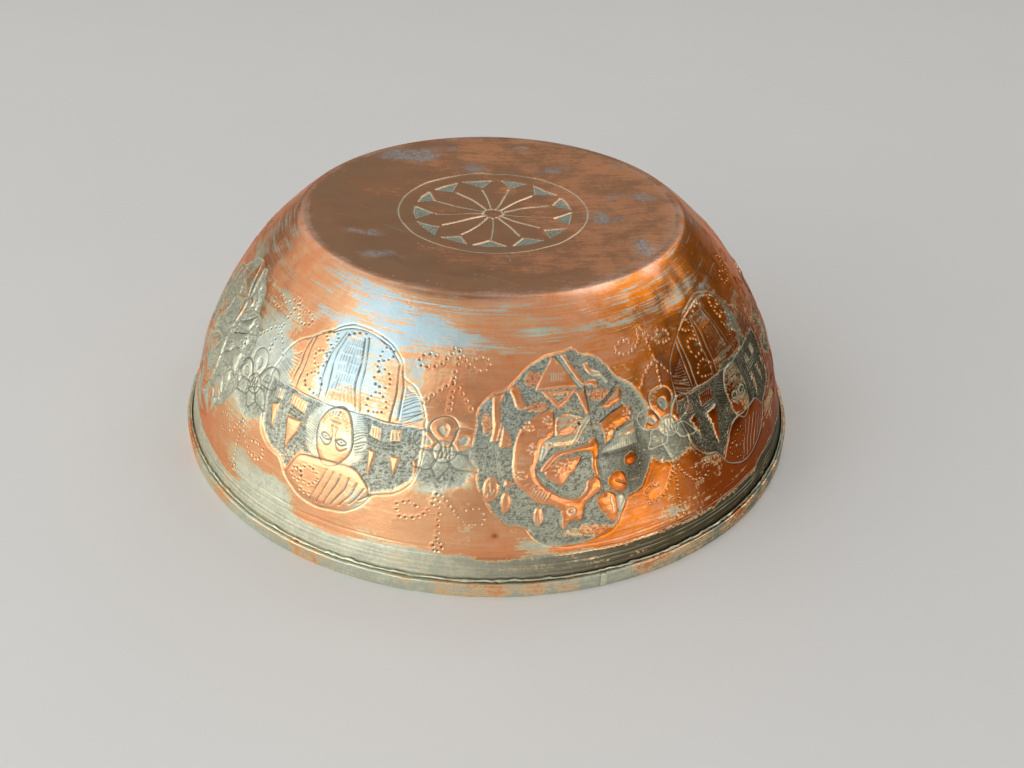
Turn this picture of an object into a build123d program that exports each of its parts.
"""Chased and tinned copper offering bowl, turned over so that it rests on its rim.

A bowl raised from one copper sheet, with a copper hoop soldered round its mouth and tin wiped inside.
Millimetres, +Z up, origin at the centre of the mouth in the plane of the rim, the flat base on top.
"""
import os
from math import degrees, pi, tan

from build123d import *

# Copper sheet of the bowl
BOWL_HEIGHT = 59.0
BASE_RADIUS = 50.0  # to the sharp corner, before rounding
BASE_CORNER = 4.0  # rounding between base and wall, outside
BASE_SINK = 2.5  # how far the middle of the base is dished in
BASE_RING = 8.0  # width of the flat ring that the base stands on, outside the dish
MOUTH_RADIUS = 83.8  # outside of the short upright skirt that the hoop grips
BAND_FLARE = 2.6  # how far the band above the hoop draws in, up to the neck where the wall begins
BAND_TOP = 11.5  # height of that neck above the rim
NECK_BLEND = 9.0  # rounding where the wall turns out into the band
WALL_BULGE = 5.2  # how far the wall swells beyond a straight line from neck to base
SHEET = 1.2

# Copper hoop round the mouth
HOOP_HEIGHT = 4.0
HOOP_THICKNESS = 1.2
HOOP_EDGE = 0.35  # rounding of the hoop's outer edges
HOOP_JOINT_AT = -71.0  # bearing of the joint between the hoop's two ends, in degrees from +X
HOOP_JOINT_GAP = 1.6  # width of that joint along the hoop, filled with solder

# Tin
SEAM_RISE = 0.9  # how far the solder bead above the hoop climbs the band
LINING = 0.2

# Engraved lines round the rim
RIM_LINE_DROPS = (0.6, 2.2, 5.2)  # how far below the neck each line runs
RIM_LINE_WIDTH = 0.5
RIM_LINE_DEPTH = 0.35

# Engraved rosette on the base
ROSETTE_RING = 25.0  # radius of the line round it
ROSETTE_TIPS = 20.5  # radius at which the petals end
ROSETTE_NOTCH = 4.0  # depth of the sunk corners between the petal tips
ROSETTE_TIP = 1.0  # width left of each petal at its tip
ROSETTE_HUB = 2.6
ROSETTE_PETALS = 13
ROSETTE_TURN = -8.3  # bearing of the first line between petals, in degrees from +X
ROSETTE_LINE = 0.5
ROSETTE_DEPTH = 0.3

HOOP_RADIUS = MOUTH_RADIUS + HOOP_THICKNESS
NECK_RADIUS = MOUTH_RADIUS - BAND_FLARE
JOINT_SPAN = degrees(HOOP_JOINT_GAP / MOUTH_RADIUS)  # the joint's width as an angle
TIP_REACH = ROSETTE_TIPS * tan(pi / ROSETTE_PETALS) - ROSETTE_TIP / 2  # half the width of a sunk corner
BASE_LEVEL = BOWL_HEIGHT - BASE_SINK  # height of the middle of the base


def bowl_face(inset):
    """Half section of everything inside the bowl's outer surface, drawn that far inside it, above the rim."""
    neck = Vector(NECK_RADIUS, BAND_TOP)
    corner = Vector(BASE_RADIUS, BOWL_HEIGHT)
    along = (corner - neck).normalized()
    swell = (neck + corner) / 2 + Vector(along.Y, -along.X) * WALL_BULGE
    below = -BOWL_HEIGHT  # far enough under the rim that the inset leaves the mouth open
    with BuildSketch(Plane.XZ) as face:
        with BuildLine():
            dish = TangentArc((0, BASE_LEVEL), (BASE_RADIUS - BASE_RING, BOWL_HEIGHT), tangent=(1, 0))
            Line(dish @ 1, corner)
            ThreePointArc(corner, swell, neck)
            band = Line(neck, (MOUTH_RADIUS, HOOP_HEIGHT))
            skirt = Line(band @ 1, (MOUTH_RADIUS, below))
            Polyline(skirt @ 1, (0, below), dish @ 0)
        make_face()
        fillet(face.vertices().sort_by_distance(corner)[0], BASE_CORNER)
        fillet(face.vertices().sort_by_distance(neck)[0], NECK_BLEND)
        mirror(about=Plane.YZ)
        if inset:
            offset(amount=-inset)
        with Locations((HOOP_RADIUS / 2, BOWL_HEIGHT / 2)):
            Rectangle(HOOP_RADIUS, BOWL_HEIGHT, mode=Mode.INTERSECT)
    return face.sketch_local


def skin(outside, inside):
    """Half section of the layer between two depths below the bowl's outer surface."""
    with BuildSketch(Plane.XZ) as layer:
        add(bowl_face(outside))
        add(bowl_face(inside), mode=Mode.SUBTRACT)
    return layer.sketch_local


def hoop_part(start, span):
    """Stretch of the hoop's section, swept round the mouth from one bearing through an angle."""
    with BuildPart() as stretch:
        with BuildSketch(Plane.XZ.rotated((0, 0, start))) as section:
            with Locations((MOUTH_RADIUS + HOOP_THICKNESS / 2, HOOP_HEIGHT / 2)):
                Rectangle(HOOP_THICKNESS, HOOP_HEIGHT)
            fillet(section.vertices().group_by(Axis.X)[-1], HOOP_EDGE)
        revolve(axis=Axis.Z, revolution_arc=span)
    return stretch.part


os.makedirs("parts", exist_ok=True)

# Engraved lines round the rim, as solids to cut away
with BuildPart() as rim_lines:
    with BuildSketch(Plane.XZ):
        with Locations(*[(NECK_RADIUS, BAND_TOP - drop) for drop in RIM_LINE_DROPS]):
            Rectangle(NECK_RADIUS, RIM_LINE_WIDTH)
        add(skin(0, RIM_LINE_DEPTH), mode=Mode.INTERSECT)
    revolve(axis=Axis.Z)

# Rosette on the base, as a solid to cut away: ring, hub, lines between petals, and sunk corners at their ends
with BuildPart() as rosette:
    with BuildSketch(Plane.XZ):
        add(skin(0, ROSETTE_DEPTH))
    revolve(axis=Axis.Z)
    with BuildSketch(Plane.XY.offset(BOWL_HEIGHT)):
        for radius in (ROSETTE_RING, ROSETTE_HUB):
            Circle(radius + ROSETTE_LINE / 2)
            Circle(radius - ROSETTE_LINE / 2, mode=Mode.SUBTRACT)
        with PolarLocations((ROSETTE_HUB + ROSETTE_TIPS) / 2, ROSETTE_PETALS, ROSETTE_TURN):
            Rectangle(ROSETTE_TIPS - ROSETTE_HUB, ROSETTE_LINE)
        with PolarLocations(0, ROSETTE_PETALS, ROSETTE_TURN):
            inner = (ROSETTE_TIPS - ROSETTE_NOTCH, 0)
            Polygon(inner, (ROSETTE_TIPS, -TIP_REACH), (ROSETTE_TIPS, TIP_REACH), align=None)
    extrude(amount=-(BASE_SINK + SHEET), mode=Mode.INTERSECT)

# Copper bowl
with BuildPart() as bowl_shell:
    with BuildSketch(Plane.XZ):
        add(skin(0, SHEET))
    revolve(axis=Axis.Z)
    add(rim_lines.part, mode=Mode.SUBTRACT)
    add(rosette.part, mode=Mode.SUBTRACT)

# Copper hoop round the mouth, bent from a strip, and the solder that closes the gap between its ends
rim_hoop = hoop_part(HOOP_JOINT_AT + JOINT_SPAN / 2, 360 - JOINT_SPAN)
hoop_joint_solder = hoop_part(HOOP_JOINT_AT - JOINT_SPAN / 2, JOINT_SPAN)

# Solder bead in the corner between the hoop's upper edge and the band
with BuildPart() as rim_seam_solder:
    with BuildSketch(Plane.XZ):
        corner = Vector(MOUTH_RADIUS, HOOP_HEIGHT)
        climb = (Vector(NECK_RADIUS, BAND_TOP) - corner).normalized() * SEAM_RISE
        Polygon(corner, corner + Vector(HOOP_THICKNESS - HOOP_EDGE, 0), corner + climb, align=None)
    revolve(axis=Axis.Z)

# Tin wiped over the inside
with BuildPart() as tin_lining:
    with BuildSketch(Plane.XZ):
        add(skin(SHEET, SHEET + LINING))
    revolve(axis=Axis.Z)

pieces = {
    "bowl_shell": bowl_shell.part,
    "rim_hoop": rim_hoop,
    "hoop_joint_solder": hoop_joint_solder,
    "rim_seam_solder": rim_seam_solder.part,
    "tin_lining": tin_lining.part,
}
for name, piece in pieces.items():
    piece.label = name
    export_step(piece, f"parts/{name}.step")
